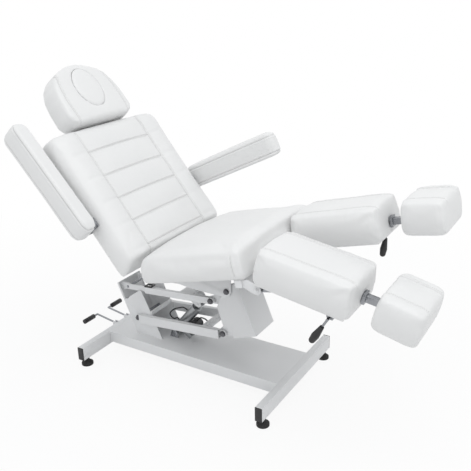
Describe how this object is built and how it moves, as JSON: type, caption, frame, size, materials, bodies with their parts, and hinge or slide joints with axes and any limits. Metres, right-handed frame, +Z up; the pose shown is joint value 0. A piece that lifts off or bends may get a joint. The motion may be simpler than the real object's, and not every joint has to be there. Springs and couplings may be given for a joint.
{
  "type": "podiatry chair",
  "caption": "Upholstered treatment chair on a motor-lifted arm stand, with reclining back, headrest with face insert, folding armrests, split legs and sliding foot pads.",
  "frame": {"origin": "floor level under the middle of the stand, between its two cross tubes", "axes": "+X towards the foot pads, +Y towards the seated person's left, +Z up"},
  "size_m": [1.7387, 0.8264, 1.268],
  "materials": {
    "frame": "satin",
    "zinc": "polished",
    "cover": "satin",
    "board": "satin",
    "black": "satin",
    "rubber": "matte",
    "motor": "satin",
    "steel": "satin"
  },
  "bodies": {
    "stand": {"rear_cross_tube": "frame", "front_cross_tube": "frame", "tube_end_caps": "black", "base_deck": "frame", "pedestal": "frame", "base_pivots": "zinc", "rear_lever_bracket": "frame"},
    "lower_arms": {"lower_arm_right": "frame", "lower_arm_left": "frame", "lower_cross_bar": "frame"},
    "upper_arms": {"upper_arm_right": "frame", "upper_arm_left": "frame", "upper_cross_plate": "frame", "upper_arm_pad": "black"},
    "carriage": {"carriage": "frame", "carriage_lugs": "frame", "carriage_bolts": "zinc"},
    "drive": {"drive_tube": "steel", "drive_motor": "motor", "motor_cables": "black"},
    "drive_rod": {"drive_rod": "steel"},
    "seat": {"seat_board": "board", "seat_cushion": "cover", "seat_side_right": "frame", "seat_side_left": "frame", "seat_cross_members": "frame"},
    "back": {"back_board": "board", "back_cushion": "cover", "back_frame": "frame", "back_fittings": "zinc"},
    "headrest": {"headrest_board": "board", "headrest_bars": "zinc", "headrest_cushion": "cover"},
    "face_insert": {"face_insert": "cover"},
    "level_foot_rear_right": {"level_foot_rear_right": "rubber"},
    "level_foot_front_right": {"level_foot_front_right": "rubber"},
    "rear_lever_right": {"rear_lever_right": "zinc", "rear_grip_right": "black"},
    "armrest_right": {"armrest_disc_right": "zinc", "armrest_cushion_right": "cover"},
    "leg_right": {"leg_board_right": "board", "leg_fittings_right": "zinc", "leg_cushion_right": "cover"},
    "leg_lever_right": {"leg_lever_right": "zinc", "leg_grip_right": "black"},
    "foot_pad_right": {"foot_bar_right": "zinc", "foot_cushion_right": "cover"},
    "level_foot_rear_left": {"level_foot_rear_left": "rubber"},
    "level_foot_front_left": {"level_foot_front_left": "rubber"},
    "rear_lever_left": {"rear_lever_left": "zinc", "rear_grip_left": "black"},
    "armrest_left": {"armrest_disc_left": "zinc", "armrest_cushion_left": "cover"},
    "leg_left": {"leg_board_left": "board", "leg_fittings_left": "zinc", "leg_cushion_left": "cover"},
    "leg_lever_left": {"leg_lever_left": "zinc", "leg_grip_left": "black"},
    "foot_pad_left": {"foot_bar_left": "zinc", "foot_cushion_left": "cover"}
  },
  "joints": [
    {"name": "lift", "type": "hinge", "parent": "stand", "child": "lower_arms", "pos_m": [-0.302, 0, 0.179], "axis": [0, -1, 0], "range_deg": [-1.5, 29]},
    {"name": "upper_arms_turn", "type": "hinge", "parent": "stand", "child": "upper_arms", "pos_m": [-0.3616, 0, 0.3145], "axis": [0, -1, 0], "range_deg": [-1.5, 29]},
    {"name": "carriage_level", "type": "hinge", "parent": "lower_arms", "child": "carriage", "pos_m": [0.15102, 0, 0.218], "axis": [0, -1, 0], "range_deg": [-29, 1.5]},
    {"name": "drive_turn", "type": "hinge", "parent": "stand", "child": "drive", "pos_m": [-0.145, 0, 0.122], "axis": [0, -1, 0], "range_deg": [-1.2, 22.5]},
    {"name": "drive_push", "type": "slide", "parent": "drive", "child": "drive_rod", "axis": [0.6275, 0, 0.7786], "range_m": [-0.0075, 0.1415]},
    {"name": "seat_tilt", "type": "hinge", "parent": "carriage", "child": "seat", "pos_m": [0.17652, 0, 0.42], "axis": [0, -1, 0], "range_deg": [-14.5, 3]},
    {"name": "back_recline", "type": "hinge", "parent": "seat", "child": "back", "pos_m": [-0.12494, 0, 0.50295], "axis": [0, -1, 0], "range_deg": [-12, 36.5]},
    {"name": "headrest_height", "type": "slide", "parent": "back", "child": "headrest", "axis": [-0.6246, 0, 0.781], "range_m": [0, 0.08]},
    {"name": "face_insert_pull", "type": "slide", "parent": "headrest", "child": "face_insert", "axis": [0.781, 0, 0.6246], "range_m": [0, 0.05]},
    {"name": "level_rear_right", "type": "slide", "parent": "stand", "child": "level_foot_rear_right", "axis": [0, 0, -1], "range_m": [-0.006, 0.012]},
    {"name": "level_front_right", "type": "slide", "parent": "stand", "child": "level_foot_front_right", "axis": [0, 0, -1], "range_m": [-0.006, 0.012]},
    {"name": "rear_lever_turn_right", "type": "hinge", "parent": "stand", "child": "rear_lever_right", "pos_m": [-0.481, 0, 0.084], "axis": [0, -1, 0], "range_deg": [-12, 12]},
    {"name": "armrest_turn_right", "type": "hinge", "parent": "back", "child": "armrest_right", "pos_m": [-0.27367, 0, 0.71376], "axis": [0, -1, 0], "range_deg": [-106.4, 3]},
    {"name": "leg_turn_right", "type": "hinge", "parent": "seat", "child": "leg_right", "pos_m": [0.42897, 0, 0.568], "axis": [0, -1, 0], "range_deg": [-40, 24.2]},
    {"name": "leg_lever_turn_right", "type": "hinge", "parent": "leg_right", "child": "leg_lever_right", "pos_m": [0.71192, 0, 0.53181], "axis": [0, -1, 0], "range_deg": [-20, 25]},
    {"name": "foot_pad_slide_right", "type": "slide", "parent": "leg_right", "child": "foot_pad_right", "axis": [0.9857, 0, -0.1685], "range_m": [-0.055, 0.08]},
    {"name": "level_rear_left", "type": "slide", "parent": "stand", "child": "level_foot_rear_left", "axis": [0, 0, -1], "range_m": [-0.006, 0.012]},
    {"name": "level_front_left", "type": "slide", "parent": "stand", "child": "level_foot_front_left", "axis": [0, 0, -1], "range_m": [-0.006, 0.012]},
    {"name": "rear_lever_turn_left", "type": "hinge", "parent": "stand", "child": "rear_lever_left", "pos_m": [-0.481, 0, 0.084], "axis": [0, -1, 0], "range_deg": [-12, 12]},
    {"name": "armrest_turn_left", "type": "hinge", "parent": "back", "child": "armrest_left", "pos_m": [-0.27367, 0, 0.71376], "axis": [0, -1, 0], "range_deg": [0, 106.4]},
    {"name": "leg_turn_left", "type": "hinge", "parent": "seat", "child": "leg_left", "pos_m": [0.42897, 0, 0.568], "axis": [0, -1, 0], "range_deg": [-65, 0]},
    {"name": "leg_lever_turn_left", "type": "hinge", "parent": "leg_left", "child": "leg_lever_left", "pos_m": [0.70179, 0, 0.65131], "axis": [0, -1, 0], "range_deg": [-20, 25]},
    {"name": "foot_pad_slide_left", "type": "slide", "parent": "leg_left", "child": "foot_pad_left", "axis": [0.9678, 0, 0.2516], "range_m": [-0.055, 0.08]}
  ],
  "couplings": [
    {"joint": "upper_arms_turn", "follows": "lift", "ratio": 1},
    {"joint": "carriage_level", "follows": "lift", "ratio": -1},
    {"joint": "drive_turn", "follows": "lift", "ratio": 0.765},
    {"joint": "drive_push", "follows": "lift", "m_per_rad": 0.279}
  ]
}
